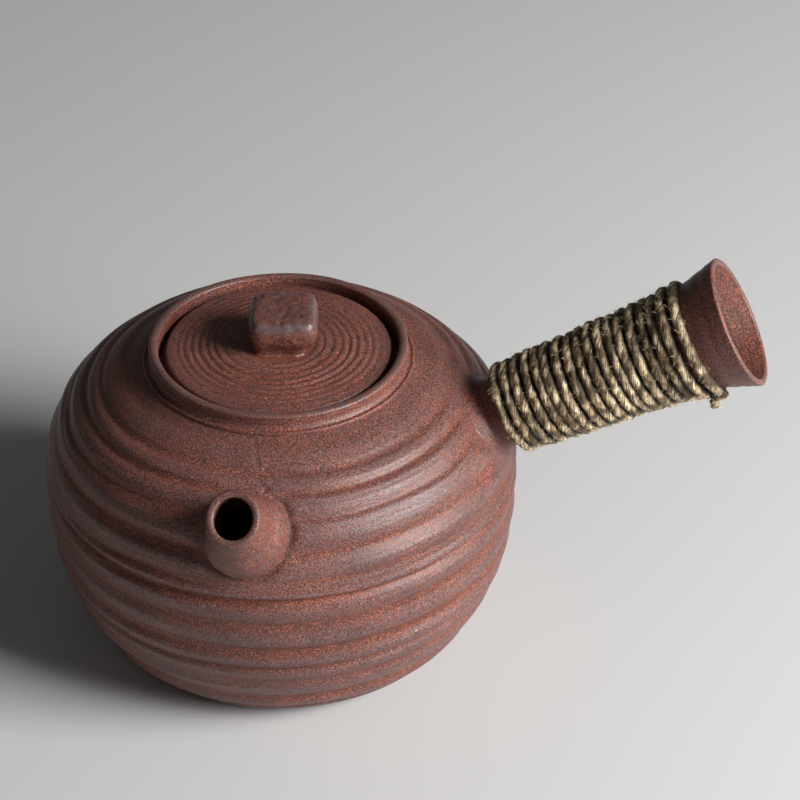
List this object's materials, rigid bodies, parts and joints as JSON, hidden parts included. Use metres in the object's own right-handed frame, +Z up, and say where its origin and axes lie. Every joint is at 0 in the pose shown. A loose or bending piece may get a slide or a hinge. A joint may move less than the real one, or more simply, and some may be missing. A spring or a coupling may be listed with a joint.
{
  "type": "side-handle teapot",
  "caption": "Round thrown clay teapot with a short spout, a hollow twine-wound side handle and a loose lid set inside a low collar.",
  "frame": {"origin": "middle of the flat foot, on the surface that the pot stands on", "axes": "+Z up through the middle of the mouth, +X towards the side handle, -Y towards the spout"},
  "size_m": [0.1904, 0.1381, 0.1169],
  "materials": {
    "clay": "unglazed coarse red-brown clay, matte",
    "worn_clay": "unglazed clay, worn to a soft grey sheen",
    "twine": "plied natural jute twine"
  },
  "bodies": {
    "pot": {"pot_body": "clay", "mouth_collar": "clay", "spout": "clay", "strainer": "clay", "handle": "clay", "handle_twine": "twine", "twine_knot": "twine"},
    "lid": {"lid": "clay", "lid_flange": "clay", "lid_knob": "worn_clay"}
  },
  "joints": [
    {"name": "lid_lift", "type": "slide", "parent": "pot", "child": "lid", "axis": [0, 0, 1], "range_m": [0, 0.06]}
  ]
}
